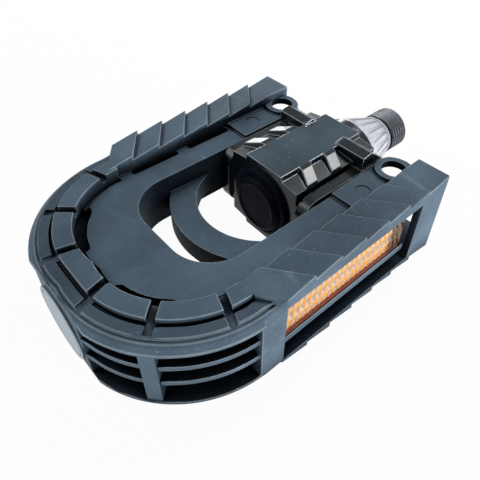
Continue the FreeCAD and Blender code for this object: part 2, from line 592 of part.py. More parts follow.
turned("bearing_cone", [(-d.cone_far, d.stud_rad), (-d.cone_far, d.cone_rad), (-cone_face, d.cone_rad),
                        (-cone_face, far_cone), (-cone_near, far_cone), (-cone_near, d.stud_rad)])
washer_far = d.cone_far + d.washer_thick
turned("tab_washer", [(-washer_far, d.stud_rad), (-washer_far, d.washer_rad),
                      (-d.cone_far, d.washer_rad), (-d.cone_far, d.stud_rad)])


def add_hexagon(sk, flats):
    corner = dim(flats) * (1 / math.sqrt(3))
    add_polygon(sk, [(corner * math.cos(math.radians(60 * k)), corner * math.sin(math.radians(60 * k)))
                     for k in range(6)])


nut = new_body("lock_nut")
sk = new_sketch(nut, "lock_nut_face", "YZ_Plane", -washer_far)
add_hexagon(sk, d.nut_flats)
add_circle(sk, 0, 0, d.stud_rad)
sweep(nut, "Pad", sk, d.nut_thick, back=True)

for label, out, pitch, count in (("near_balls", d.near_ball_out, d.near_ball_pitch, d.near_balls),
                                 ("far_balls", d.far_ball_out, d.far_ball_pitch, d.far_balls)):
    balls = []
    for k in range(int(count.value)):
        a = 2 * math.pi * k / count.value
        spot = FreeCAD.Vector(-out.value, pitch.value * math.cos(a), pitch.value * math.sin(a))
        balls.append(Part.makeSphere(d.ball_rad.value, spot))
    group = doc.addObject("Part::Feature", label)
    group.Shape = Part.makeCompound(balls)
    group.Label = label

# Cap over the outer bearing, seal at the crank end, ribbed sleeve and the spindle.
rim_face = d.cap_rim_out + 0.9
inner_face = d.cap_far - d.cap_wall
turned("end_cap", [(-d.cap_seat_near, d.cap_bore), (-d.cap_seat_near, d.cap_seat_rad),
                   (-d.cap_rim_out, d.cap_seat_rad), (-rim_face, d.cap_seat_rad - 1.2),
                   (-rim_face, d.cap_step_rad + 0.8), (-d.cap_far, d.cap_step_rad), (-d.cap_far, 0),
                   (-inner_face, 0), (-inner_face, d.cap_step_rad - 0.6), (-d.cap_rim_out, d.cap_bore)])
turned("dust_seal", [(-d.seal_far, d.seal_bore), (-d.seal_far, d.near_cup_rad),
                     (-d.seal_near, d.near_cup_rad), (-d.seal_near, d.seal_bore)])
cone_start = d.sleeve_far - d.sleeve_flange
sleeve = turned("dust_sleeve", [(-d.sleeve_far, d.neck_rad), (-d.sleeve_far, d.sleeve_wide + 0.5),
                                (-cone_start, d.sleeve_wide + 0.5), (-cone_start, d.sleeve_wide),
                                (-(d.sleeve_near + 1.2), d.sleeve_narrow), (-d.sleeve_near, d.sleeve_narrow),
                                (-d.sleeve_near, d.neck_rad)])
sk = new_sketch(sleeve, "sleeve_rib", "XY_Plane")
rib_end = d.sleeve_near + 2.0
add_polygon(sk, [(-cone_start, d.sleeve_wide - 0.6), (-cone_start, d.sleeve_wide + d.rib_rise),
                 (-rib_end, d.sleeve_narrow + d.rib_rise), (-rib_end, d.sleeve_narrow - 0.2)])
rib = sweep(sleeve, "Pad", sk, 1.3, symmetric=True)
ring = sleeve.newObject("PartDesign::PolarPattern", "sleeve_ribs_ring")
ring.Originals = [rib]
ring.Axis = (origin_plane(sleeve, "X_Axis"), [""])
ring.Angle = 360
bind(ring, "Occurrences", d.sleeve_ribs)
sleeve.Tip = ring
doc.recompute()

flange_far = d.near_ball_out - d.ball_rad - d.side_gap
race = d.near_ball_pitch - d.ball_rad - d.race_gap
spindle = turned("spindle", [(-d.stud_end, 0), (-d.stud_end, d.stud_rad), (-cone_near, d.stud_rad),
                             (-cone_near, d.shaft_rad), (-d.near_cup_far, d.shaft_rad),
                             (-d.near_cup_far, race), (-flange_far, race), (-flange_far, d.flange_rad),
                             (-d.flange_near, d.flange_rad), (-d.flange_near, d.neck_rad),
                             (-d.relief_long, d.neck_rad), (-d.relief_long, d.relief_rad), (0, d.relief_rad),
                             (0, d.thread_rad), (d.thread_long - d.thread_chamfer, d.thread_rad),
                             (d.thread_long, d.thread_rad - d.thread_chamfer), (d.thread_long, 0)])
sk = new_sketch(spindle, "key_socket", "YZ_Plane", d.thread_long)
add_hexagon(sk, d.socket_flats)
sweep(spindle, "Pocket", sk, d.socket_deep)

doc.recompute()
NODES = ["platform_body", "reflector_right", "reflector_left", "hinge_pin_right", "hinge_pin_left",
         "slider_right", "slider_left", "push_spring_right", "push_spring_left", "core_barrel", "near_cup",
         "far_cup", "near_balls", "far_balls", "bearing_cone", "tab_washer", "lock_nut", "end_cap",
         "dust_seal", "dust_sleeve", "spindle"]
for obj in doc.Objects:
    if "Invalid" in obj.State or "Error" in obj.State:
        raise RuntimeError(f"{obj.Name}: {obj.State}")
os.makedirs("parts", exist_ok=True)
for name in NODES:
    obj = next(o for o in doc.Objects if o.Label == name)
    if obj.Shape.isNull() or not obj.Shape.isValid():
        raise RuntimeError(f"{name} is not a valid shape")
    box = obj.Shape.BoundBox
    print(name, len(obj.Shape.Solids), "solids", round(obj.Shape.Volume), "mm3",
          [round(v, 2) for v in (box.XMin, box.XMax, box.YMin, box.YMax, box.ZMin, box.ZMax)])
    obj.Shape.exportStep(f"parts/{name}.step")
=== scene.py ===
# %% [markdown]
# # A folding bicycle pedal, dressed for its portrait
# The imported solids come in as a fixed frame: every body, joint and size is already right.
# This file gives those solids their surfaces: softened moulding edges, paint, amber lenses,
# thread ridges, light and a camera. Each step says what the piece is on the real pedal,
# how it could be made, and why it is made this way.

# %% Load the frame
import bpy
import bmesh
import math
from mathutils import Matrix, Vector
from mathutils.kdtree import KDTree


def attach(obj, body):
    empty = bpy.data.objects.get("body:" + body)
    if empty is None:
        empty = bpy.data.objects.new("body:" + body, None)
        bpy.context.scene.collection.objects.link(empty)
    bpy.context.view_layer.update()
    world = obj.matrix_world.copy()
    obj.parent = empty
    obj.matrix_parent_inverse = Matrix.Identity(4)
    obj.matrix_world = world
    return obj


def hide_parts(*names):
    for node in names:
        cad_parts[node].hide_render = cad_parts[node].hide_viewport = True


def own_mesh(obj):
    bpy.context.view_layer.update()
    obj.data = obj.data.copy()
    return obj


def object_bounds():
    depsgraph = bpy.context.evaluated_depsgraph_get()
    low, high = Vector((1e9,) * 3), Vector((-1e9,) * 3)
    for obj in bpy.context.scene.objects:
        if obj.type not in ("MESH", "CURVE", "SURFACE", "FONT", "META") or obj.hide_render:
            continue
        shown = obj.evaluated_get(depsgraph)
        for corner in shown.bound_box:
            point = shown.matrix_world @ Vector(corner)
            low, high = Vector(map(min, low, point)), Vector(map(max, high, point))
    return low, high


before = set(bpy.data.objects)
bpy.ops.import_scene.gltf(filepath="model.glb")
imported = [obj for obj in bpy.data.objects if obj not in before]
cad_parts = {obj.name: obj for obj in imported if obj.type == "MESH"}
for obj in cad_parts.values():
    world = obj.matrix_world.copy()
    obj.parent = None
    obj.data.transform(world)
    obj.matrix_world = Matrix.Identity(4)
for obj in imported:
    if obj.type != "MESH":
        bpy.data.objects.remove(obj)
cad_low, cad_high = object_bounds()
MM = 0.001

# %% [markdown]
# ## Shader sums
# A finish is mostly arithmetic: grain plus scuffs, times a mask. Written as node links it is
# hard to read, so one small class wraps a socket and lets Python operators add the Math nodes.
# Its make() method adds every other kind of node: settings first, then sockets.

# %% The socket class
class Wire:
    """A shader socket that can be used in Python sums."""

    def __init__(self, tree, socket):
        self.tree = tree
        self.socket = socket

    def make(self, kind, settings=None, sockets=None, out=0):
        """Add a node, set it up, feed its sockets, and return one of its outputs."""
        node = self.tree.nodes.new("ShaderNode" + kind)
        for name, value in (settings or {}).items():
            setattr(node, name, value)
        for key, value in (sockets or {}).items():
            if isinstance(value, Wire):
                self.tree.links.new(value.socket, node.inputs[key])
            else:
                node.inputs[key].default_value = value
        return Wire(self.tree, node.outputs[out])

    def sum(self, operation, other=0.0):
        """One Math node on this value and another."""
        return self.make("Math", {"operation": operation}, {0: self, 1: other})

    def __add__(self, other):
        return self.sum("ADD", other)

    def __sub__(self, other):
        return self.sum("SUBTRACT", other)

    def __rsub__(self, other):
        return self.make("Math", {"operation": "SUBTRACT"}, {0: other, 1: self})

    def __mul__(self, other):
        return self.sum("MULTIPLY", other)

    def __abs__(self):
        return self.sum("ABSOLUTE")

    __radd__ = __add__
    __rmul__ = __mul__

    def axis(self, index):
        """One coordinate of this vector: 0 for x, 1 for y, 2 for z."""
        return self.make("SeparateXYZ", None, {0: self}, out=index)

    def from_axis(self):
        """How far this vector is from the X axis, which is the spindle's."""
        across = self.make("VectorMath", {"operation": "MULTIPLY"}, {0: self, 1: (0.0, 1.0, 1.0)})
        return self.make("VectorMath", {"operation": "LENGTH"}, {0: across}, out=1)

    def ramp(self, low, high):
        """0 below low, 1 above high, smooth between."""
        return self.make("MapRange", {"interpolation_type": "SMOOTHSTEP"},
                         {"Value": self, "From Min": low, "From Max": high})

    def noise(self, scale, detail=3.0, stretch=None):
        """Noise on this vector; scale is in features per metre."""
        vector = self
        if stretch:
            vector = self.make("Mapping", None, {"Vector": self, "Scale": stretch})
        return self.make("TexNoise", None, {"Vector": vector, "Scale": scale, "Detail": detail})

    def tint(self, first, second):
        """A colour between two, by this factor; each is a wire or a plain triple."""
        first, second = (c if isinstance(c, Wire) else (*c, 1.0) for c in (first, second))
        return self.make("Mix", {"data_type": "RGBA"}, {0: self, 6: first, 7: second}, out=2)

    def bump(self, strength, height):
        """A surface normal from this height map."""
        return self.make("Bump", None, {"Strength": strength, "Distance": height, "Height": self})

    def openness(self, reach):
        """1 on an open face, falling to 0 in a corner within reach; it paints shade into corners.
        """
        return self.make("AmbientOcclusion", {"samples": 8}, {"Distance": reach}, out=1)


def new_finish(name, **constants):
    """A material with a Principled shader; returns it and its Object coordinates."""
    material = bpy.data.materials.new(name)
    material.use_nodes = True
    shader = material.node_tree.nodes["Principled BSDF"]
    for socket, value in constants.items():
        shader.inputs[socket.replace("_", " ")].default_value = value
    start = Wire(material.node_tree, None)
    return material, start.make("TexCoord", out=3)


def feed(material, **wires):
    """Link what varies over the surface to the shader."""
    shader = material.node_tree.nodes["Principled BSDF"]
    for socket, wire in wires.items():
        material.node_tree.links.new(wire.socket, shader.inputs[socket.replace("_", " ")])
    return material


print("shader sums ready")

# %% [markdown]
# ## Black nylon of the platform
# The platform is one moulding of black glass-filled nylon. It is never a flat black: the mould
# was sand-blasted, so there is a fine grain; the flow of the melt leaves broad mottling; and
# shoes rub pale scuffs across it. A texture painted by hand would do it, but noise on Object
# coordinates follows every face with no seams. The grain is bump, the rest colour and gloss.
# Painted shade darkens corners and recesses, and the ledge band at the round tip end.

# %% Platform nylon
CORNER_SHADE_REACH = 18.0 * MM
ROUND_END = (-82.0 * MM, -80.0 * MM)
LEDGE_FOOT, LEDGE_HEAD = (9.8 * MM, 10.2 * MM), (11.8 * MM, 12.4 * MM)


def nylon(name, dark, light, rough):
    """Moulded nylon between two tones; rough is its middle roughness."""
    material, place = new_finish(name, Specular_IOR_Level=0.04)
    mottle = place.noise(55.0, 4.0)
    grain = place.noise(2600.0, 2.0).ramp(0.30, 0.70)
    rub = place.noise(260.0, 5.0, (1.0, 0.16, 1.0)).ramp(0.60, 0.78)
    speck = place.noise(1500.0, 1.0).ramp(0.70, 0.78)
    # Painted shade: faces in corners and recesses are darkened within the reach.
    painted_corner_shade = place.openness(CORNER_SHADE_REACH).ramp(0.38, 0.82)
    height = abs(place.axis(2))
    round_end = 1.0 - place.axis(0).ramp(*ROUND_END)
    # Painted shade: the ledge band at the round tip end is darkened, for its channel's shadow.
    ledge_shade = (height.ramp(*LEDGE_FOOT) - height.ramp(*LEDGE_HEAD)) * round_end
    wear = 0.72 * mottle + 0.09 * grain + 0.25 * rub + 0.40 * speck + 0.09
    tone = wear * painted_corner_shade * (1.0 - 0.22 * ledge_shade)
    return feed(material, Base_Color=tone.tint(dark, light),
                Roughness=(rough - 0.08) + 0.16 * mottle - 0.06 * rub,
                Normal=(grain + 0.5 * rub).bump(0.12, 0.05 * MM))


platform_nylon = nylon("platform_nylon", (0.003, 0.005, 0.008), (0.155, 0.225, 0.300), 0.50)
# The rounded edges take a paler nylon: rubbing, and a painted highlight along each edge.
worn_and_highlit_edge_nylon = nylon("worn_and_highlit_edge_nylon", (0.010, 0.015, 0.020), (0.34, 0.43, 0.50), 0.40)
print("nylon for faces and for rubbed edges")

# %% [markdown]
# ## Plate at the tip
# A round plate closes the tip. Its face is a plain silver print with a thin dark ring near the
# edge. The ring could be cut into the mesh, but ink has no depth: the distance from the
# plate's middle draws it.

# %% Silver print
PLATE_MIDDLE = (0.0, 0.0, -1.0 * MM)
RING_INSIDE, RING_OUTSIDE = (8.7 * MM, 8.8 * MM), (9.1 * MM, 9.2 * MM)
RING_INK = (0.02, 0.03, 0.04)


def plate_print():
    """Silver print with one thin ring round the middle of the plate."""
    material, place = new_finish("plate_print", Specular_IOR_Level=0.5)
    centred = place.make("VectorMath", {"operation": "SUBTRACT"}, {0: place, 1: PLATE_MIDDLE})
    reach = centred.from_axis()
    ring = reach.ramp(*RING_INSIDE) - reach.ramp(*RING_OUTSIDE)
    mottle = place.noise(420.0, 4.0)
    silver = (0.7 * mottle + 0.1).tint((0.17, 0.21, 0.25), (0.28, 0.34, 0.38))
    return feed(material, Base_Color=ring.tint(silver, RING_INK), Roughness=0.36 + 0.2 * mottle,
                Normal=mottle.bump(0.1, 0.05 * MM))


silver_print = plate_print()
print("print for the tip plate")

# %% [markdown]
# ## Softened mouldings
# A solid from CAD has knife edges; a moulding or a casting has small radii that catch the light
# as bright lines. The rounding could be faked in the shader, but real geometry also rounds the
# outline and survives export. A copy of the node's mesh is merged, its flat faces are joined
# again, and edges sharper than 30 degrees get a narrow bevel. Where two bevels would cross in a
# corner too small for them, a face folds over: those few edges are found and stay sharp.

# %% Placing and shading a piece
def place_piece(name, bm, body, finishes, slot, *nodes):
    """Turn a bmesh into a piece at the origin that rides on a body and replaces CAD nodes."""
    mesh = bpy.data.meshes.new(name)
    bm.to_mesh(mesh)
    bm.free()
    piece = bpy.data.objects.new(name, mesh)
    bpy.context.scene.collection.objects.link(piece)
    for finish in finishes:
        mesh.materials.append(finish)
    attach(piece, body)
    if nodes:
        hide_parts(*nodes)
    print(name, len(mesh.polygons), "faces")
    return piece


def shade(piece, degrees=32.0):
    """Smooth shading, edges sharper than the angle kept crisp and wide faces kept flat."""
    piece.data.shade_smooth()
    piece.data.set_sharp_from_angle(angle=math.radians(degrees))
    even = piece.modifiers.new("even_faces", "WEIGHTED_NORMAL")
    even.keep_sharp = True
    even.weight = 90


print("pieces can be placed and shaded")

# %% Copying a solid and finding folds
WELD = 0.002 * MM
FLAT_ANGLE = math.radians(1.0)
FOLD_LIMIT = -1e-12


def merged(node):
    """A copy of a CAD node as one closed mesh with its flat faces joined."""
    bm = bmesh.new()
    bm.from_mesh(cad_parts[node].data)
    for face in bm.faces:
        face.material_index = 0
    bmesh.ops.remove_doubles(bm, verts=bm.verts, dist=WELD)
    bmesh.ops.dissolve_limit(bm, angle_limit=FLAT_ANGLE, verts=bm.verts, edges=bm.edges)
    bm.edges.index_update()
    return bm


def folds(bm):
    """Corners of the triangles that face against the face they belong to."""
    spots = []
    for loops in bm.calc_loop_triangles():
        a, b, c = (loop.vert.co for loop in loops)
        if (b - a).cross(c - a).dot(loops[0].face.normal) < FOLD_LIMIT:
            spots += [a.copy(), b.copy(), c.copy()]
    return spots


def clear_of(bm, chosen, spots, reach):
    """The chosen edges with both ends farther than reach from every spot."""
    tree = KDTree(len(spots))
    for index, spot in enumerate(spots):
        tree.insert(spot, index)
    tree.balance()
    bm.edges.ensure_lookup_table()
    return [i for i in chosen if min(tree.find(v.co)[2] for v in bm.edges[i].verts) > reach]


print("solids can be copied and searched for folds")

# %% Rounding the edges
SHARP_ANGLE = math.radians(30)
THIN_SHARE, CLEAR_SHARE = 1.3, 2.5
MOST_TRIES = 6


def softened(node, width):
    """A merged copy of a CAD node, its sharp edges rounded wherever no face folds over."""
    solid = merged(node)
    thin = {f for f in solid.faces if 2 * f.calc_area() < THIN_SHARE * width * f.calc_perimeter()}
    sharp = [e.index for e in solid.edges if e.calc_face_angle(0.0) > SHARP_ANGLE
             and not thin.intersection(e.link_faces)]
    for attempt in range(MOST_TRIES):
        bm = solid.copy()
        bm.edges.ensure_lookup_table()
        done = bmesh.ops.bevel(bm, geom=[bm.edges[i] for i in sharp], offset=width,
                               offset_type="OFFSET", affect="EDGES", segments=2, profile=0.5,
                               material=-1, clamp_overlap=False)
        # Bevel faces take the second finish, which for nylon and core paint is a paler painted
        # highlight.
        for face in done["faces"]:
            face.material_index = 1
        bm.normal_update()
        spots = folds(bm)
        print(node, "try", attempt + 1, "edges rounded:", len(sharp), "folds:", len(spots) // 3)
        if not spots or attempt + 1 == MOST_TRIES:
            break
        sharp = clear_of(solid, sharp, spots, CLEAR_SHARE * width)
        bm.free()
    for axis in range(3):
        low = min(v.co[axis] for v in solid.verts)
        high = max(v.co[axis] for v in solid.verts)
        for v in bm.verts:
            v.co[axis] = min(max(v.co[axis], low), high)
    solid.free()
    return bm


print("edges over", round(math.degrees(SHARP_ANGLE)), "degrees can be rounded")

# %% Platform moulding
PLATFORM_ROUNDING = 0.24 * MM
PLATE_FACE = -118.7 * MM
FACING = 0.9
moulding = softened("platform_body", PLATFORM_ROUNDING)
for face in moulding.faces:
    if face.calc_center_median().x < PLATE_FACE and face.normal.x < -FACING:
        face.material_index = 2
platform = place_piece("platform_moulding", moulding, "platform",
                       [platform_nylon, worn_and_highlit_edge_nylon, silver_print], "platform_plastic",
                       "platform_body")
shade(platform)

# %% [markdown]
# ## Painted core
# The core is an aluminium die casting under thick black paint. The paint pools, so it is smooth
# and glossy with a faint orange peel. Its rounded edges get a far paler paint: a painted highlight.
# The flat top and bottom are painted paler than the sides and ends: painted light on the flats
# and painted shade on the rest; height and distance from the middle pick the flats.

# %% Core paint
FLAT_HEIGHT, FLAT_SIDE = (13.4 * MM, 13.6 * MM), (7.2 * MM, 7.4 * MM)
CORE_CORNER_SHADE_REACH = 8.0 * MM


def paint(name, dark, light, rough, shaded_flank_level):
    """Gloss paint; the flank level, 0 to 1, is how pale it is off the flats: painted shade there.
    """
    material, place = new_finish(name, Specular_IOR_Level=0.24)
    peel = place.noise(900.0, 2.0)
    dust = place.noise(1700.0, 1.0).ramp(0.69, 0.76)
    mottle = place.noise(70.0, 3.0)
    # Painted shade: the paint is darkened in corners and recesses within the reach.
    painted_corner_shade = place.openness(CORE_CORNER_SHADE_REACH).ramp(0.25, 0.85)
    # Painted light and shade: the flat top and bottom are paler, the sides and ends darker.
    painted_lit_flats = abs(place.axis(2)).ramp(*FLAT_HEIGHT) * (1.0 - abs(place.axis(1)).ramp(*FLAT_SIDE))
    tone = (0.6 * mottle + 0.5 * dust) * painted_corner_shade * (shaded_flank_level + (1.0 - shaded_flank_level) * painted_lit_flats)
    return feed(material, Base_Color=tone.tint(dark, light),
                Roughness=(rough - 0.05) + 0.10 * mottle + 0.2 * dust,
                Normal=peel.bump(0.06, 0.08 * MM))


core_paint = paint("core_paint", (0.001, 0.003, 0.005), (0.08, 0.16, 0.23), 0.20, 0.12)
# The rounded edges take a far paler paint: a painted highlight.
highlit_core_edge = paint("highlit_core_edge", (0.02, 0.03, 0.04), (0.60, 0.66, 0.72), 0.20, 1.0)
CORE_ROUNDING = 0.20 * MM
core = place_piece("core_casting", softened("core_barrel", CORE_ROUNDING), "core",
                   [core_paint, highlit_core_edge], "core_paint", "core_barrel")
shade(core, 12.0)

# %% [markdown]
# ## End cap
# A black plastic cap snaps over the outer bearing: a rim, a step and a raised round face with a
# soft shoulder. It is a turned form, so its half profile is spun round the spindle axis.

# %% Spin helper and the cap
SPIN_STEPS = 96
HAIR = 0.001 * MM


def drawn(bm, profile):
    """Draw a line through points of (x, radius) in millimetres; returns its vertices and edges."""
    line = [bm.verts.new((x * MM, r * MM, 0.0)) for x, r in profile]
    return line + [bm.edges.new(ends) for ends in zip(line, line[1:])]


def spun(profile):
    """Spin a profile once round the X axis."""
    bm = bmesh.new()
    bmesh.ops.spin(bm, geom=drawn(bm, profile), axis=(1, 0, 0), cent=(0, 0, 0),
                   angle=2 * math.pi, steps=SPIN_STEPS, use_merge=True)
    bmesh.ops.remove_doubles(bm, verts=bm.verts, dist=HAIR)
    bmesh.ops.recalc_face_normals(bm, faces=bm.faces)
    return bm


def cap_plastic():
    """Near-black plastic with faint turning rings."""
    material, place = new_finish("cap_plastic", Specular_IOR_Level=0.02)
    mottle = place.noise(120.0, 3.0)
    rings = place.make("TexWave", {"wave_type": "RINGS", "rings_direction": "X"},
                       {"Vector": place, "Scale": 900.0, "Distortion": 0.6, "Detail": 1.0})
    return feed(material, Base_Color=mottle.tint((0.003, 0.004, 0.008), (0.009, 0.011, 0.020)),
                Roughness=0.40 + 0.14 * mottle, Normal=rings.bump(0.10, 0.03 * MM))


cap_profile = [(-52.6, 9.0), (-52.6, 11.4), (-55.2, 11.4), (-55.9, 11.0), (-56.3, 10.3),
               (-56.3, 9.6), (-56.0, 9.3), (-56.0, 9.0), (-56.9, 8.7), (-57.5, 8.3), (-57.8, 7.7),
               (-57.8, 7.1), (-57.55, 6.8), (-57.5, 6.4), (-57.6, 3.0), (-57.6, 0.0)]
cap_inside = [(-56.4, 0.0), (-56.4, 7.6), (-55.4, 9.0), (-52.6, 9.0)]
cap = place_piece("cap_turned", spun(cap_profile + cap_inside), "core", [cap_plastic()],
                  "cap_plastic", "end_cap")
shade(cap, 40.0)

# %% [markdown]
# ## Ribbed sleeve
# The grey sleeve keeps dirt from the bearing and is gripped by hand: ribs run along its cone.
# Its shape is right in the solids, so it only needs soft edges and a pale plastic, painted
# darker between the ribs as shade. The distance from the axis tells rib from valley.

# %% Sleeve plastic
CONE_SLOPE, CONE_AT_CRANK = -0.2667, 6.4 * MM
RIB_RISE = 0.6 * MM
SLEEVE_ROUNDING = 0.12 * MM


def sleeve_plastic():
    """Grey plastic, paler on the ribs, with painted shade in the valleys."""
    material, place = new_finish("sleeve_plastic", Specular_IOR_Level=0.5)
    cone = CONE_SLOPE * place.axis(0) + CONE_AT_CRANK
    rise = (place.from_axis() - cone).ramp(0.0, RIB_RISE)
    mottle = place.noise(240.0, 4.0)
    # Painted shade: the valleys between the ribs are darker.
    tone = 0.75 * rise + 0.3 * mottle
    return feed(material, Base_Color=tone.tint((0.13, 0.14, 0.16), (0.42, 0.44, 0.48)),
                Roughness=0.38 + 0.15 * mottle, Normal=mottle.bump(0.1, 0.05 * MM))


sleeve_grey = sleeve_plastic()
sleeve = place_piece("sleeve_ribbed", softened("dust_sleeve", SLEEVE_ROUNDING), "axle",
                     [sleeve_grey, sleeve_grey], "sleeve_plastic", "dust_sleeve")
shade(sleeve)

# %% [markdown]
# ## Spindle and its thread
# The spindle is black-oxided steel; the crank thread has twenty turns to the inch, so its pitch
# is 1.27 mm. A thread can be a bump map, but its ridges show in the outline, so a short vee is
# spun round the axis while it climbs: a true helix. Two planes then cut its ragged ends off.

# %% Black steel
def black_steel():
    """Black-oxided steel with lathe marks under a thin film of oil."""
    material, place = new_finish("black_steel", Metallic=0.85)
    lathe = place.noise(300.0, 3.0, (14.0, 1.0, 1.0))
    oil = place.noise(140.0, 3.0)
    return feed(material, Base_Color=oil.tint((0.06, 0.065, 0.075), (0.17, 0.18, 0.20)),
                Roughness=0.26 + 0.22 * lathe, Normal=lathe.bump(0.12, 0.03 * MM))


steel_black = black_steel()
print("black steel for the spindle")

# %% Thread ridges
THREAD_LONG, CREST, ROOT, PITCH = 8.6, 7.14, 6.42, 1.27
THREAD_START, RUN_OUT = -1.4, 0.5
TURNS, TURN_STEPS = 9, 64
thread = bmesh.new()
vee = [(THREAD_START, ROOT), (THREAD_START + 0.42 * PITCH, CREST),
       (THREAD_START + 0.58 * PITCH, CREST), (THREAD_START + PITCH, ROOT)]
bmesh.ops.spin(thread, geom=drawn(thread, vee), axis=(1, 0, 0), cent=(0, 0, 0),
               angle=TURNS * 2 * math.pi, steps=TURNS * TURN_STEPS,
               dvec=(PITCH * MM / TURN_STEPS, 0, 0), use_merge=False)
bmesh.ops.remove_doubles(thread, verts=thread.verts, dist=WELD)
for x, side in ((0.0, -1), (THREAD_LONG - RUN_OUT, 1)):
    bmesh.ops.bisect_plane(thread, geom=thread.verts[:] + thread.edges[:] + thread.faces[:],
                           plane_co=(x * MM, 0, 0), plane_no=(side, 0, 0), clear_outer=True)
bmesh.ops.recalc_face_normals(thread, faces=thread.faces)
ridges = place_piece("thread_ridges", thread, "axle", [steel_black], "black_steel")
shade(ridges, 50.0)

# %% Spindle with its key socket
KEY_FLATS, SOCKET_DEEP = 6.0, 7.0
spindle_profile = [(-55.2, 0.0), (-55.2, 3.6), (-54.8, 4.0), (-46.4, 4.0), (-46.4, 5.0),
                   (-25.8, 5.0), (-25.8, 6.2625), (-20.0125, 6.2625), (-20.0125, 8.2), (-16.4, 8.2),
                   (-16.4, 6.6), (-0.9, 6.6), (-0.9, 6.0), (0.0, 6.0), (0.0, 6.9), (0.4, ROOT),
                   (7.7, ROOT), (8.1, 6.6), (8.6, 6.2), (8.6, 3.9)]
bar = spun(spindle_profile)
end_rim = [e for e in bar.edges if e.is_boundary]
at_end = Matrix.Translation((THREAD_LONG * MM, 0, 0)) @ Matrix.Rotation(math.pi / 2, 4, "Y")
bmesh.ops.create_circle(bar, segments=6, radius=KEY_FLATS / math.sqrt(3) * MM,
                        cap_ends=False, matrix=at_end)
mouth = [e for e in bar.edges if e.is_wire]
bmesh.ops.bridge_loops(bar, edges=end_rim + mouth)
deep = bmesh.ops.extrude_edge_only(bar, edges=mouth)["geom"]
socket_floor = [g for g in deep if isinstance(g, bmesh.types.BMVert)]
bmesh.ops.translate(bar, verts=socket_floor, vec=(-SOCKET_DEEP * MM, 0, 0))
bmesh.ops.contextual_create(bar, geom=socket_floor)
bmesh.ops.recalc_face_normals(bar, faces=bar.faces)
spindle = place_piece("spindle_bar", bar, "axle", [steel_black], "black_steel", "spindle")
shade(spindle, 35.0)

# %% [markdown]
# ## Amber reflectors
# Each reflector is a moulded amber lens with rows of little cube corners behind a smooth rim.
# The cells throw light back in flecks, pale gold and deep orange side by side; the pale flecks are
# also painted into the colour, a painted reflection between gold lines. A bump pattern would
# look printed on, so every cell is a real low pyramid: a grid is cut and each square's middle
# is sunk to a point. The faces then take their own brightness from the light. The plastic is
# redder along its lower edge and is painted dark brown at the crank end, as painted shade.

# %% Amber plastic
AMBER_LINES = (0.72, 0.33, 0.05)
AMBER_FOOT = (0.13, 0.022, 0.004)
AMBER_SHADE = (0.02, 0.008, 0.003)
FOOT_EDGE, SHADE_EDGE = (-4.2 * MM, -3.2 * MM), (-37.2 * MM, -35.0 * MM)
STROKES_PER_M, STROKE_SLANT = 510.0, 140.0
ROWS_PER_M, ROW_START = 245.0, 0.3


def amber_plastic():
    """Amber: gold lines round painted glints, a red foot, painted shade at the crank end."""
    material, place = new_finish("amber_plastic", Specular_IOR_Level=0.1)
    along, height = place.axis(0), place.axis(2)
    slant = along * STROKES_PER_M + height * STROKE_SLANT
    stroke = slant.sum("PINGPONG", 0.5).ramp(0.04, 0.26)
    row = (height * ROWS_PER_M + ROW_START).sum("PINGPONG", 0.5).ramp(0.02, 0.16)
    mottle = place.noise(700.0, 3.0)
    # Painted reflection: the pale cell colour stands in for light thrown back by the cube corners.
    pale = (0.9 * mottle + 0.1).tint((0.40, 0.28, 0.20), (0.58, 0.46, 0.37))
    cells = (stroke * row).tint(AMBER_LINES, pale)
    foot = 1.0 - height.ramp(*FOOT_EDGE)
    reddened = foot.tint(cells, AMBER_FOOT)
    # Painted shade: the crank end is darkened where the arm shades the lens.
    fade = (along + 6.0 * MM * mottle).ramp(*SHADE_EDGE) * (1.0 - 0.3 * stroke)
    shaded = fade.tint(reddened, AMBER_SHADE)
    return feed(material, Base_Color=shaded, Roughness=0.18 + 0.2 * mottle,
                Normal=mottle.bump(0.1, 0.05 * MM))


amber = amber_plastic()
print("amber for the lenses")

# %% Lenses with sunken cells
LENS_X, LENS_Y, LENS_Z = (-81.1, -34.0), (33.7, 35.6), (-5.1, 7.4)
LENS_RIM, FIELD_SUNK, CELL_DEEP = 0.7, 0.25, 0.75
CELLS_LONG, CELLS_TALL = 24, 3
CELL_AREA_LIMIT = 12 * MM * MM


def runs_level(edge, axis):
    """True where both ends of an edge have the same coordinate on an axis."""
    return abs(edge.verts[0].co[axis] - edge.verts[1].co[axis]) < HAIR


def in_field(face, side):
    """True for a face of the sunken field, which looks outwards."""
    depth = (LENS_Y[1] - FIELD_SUNK) * MM
    level = all(abs(abs(v.co.y) - depth) < HAIR for v in face.verts)
    return level and face.normal.y * side > FACING


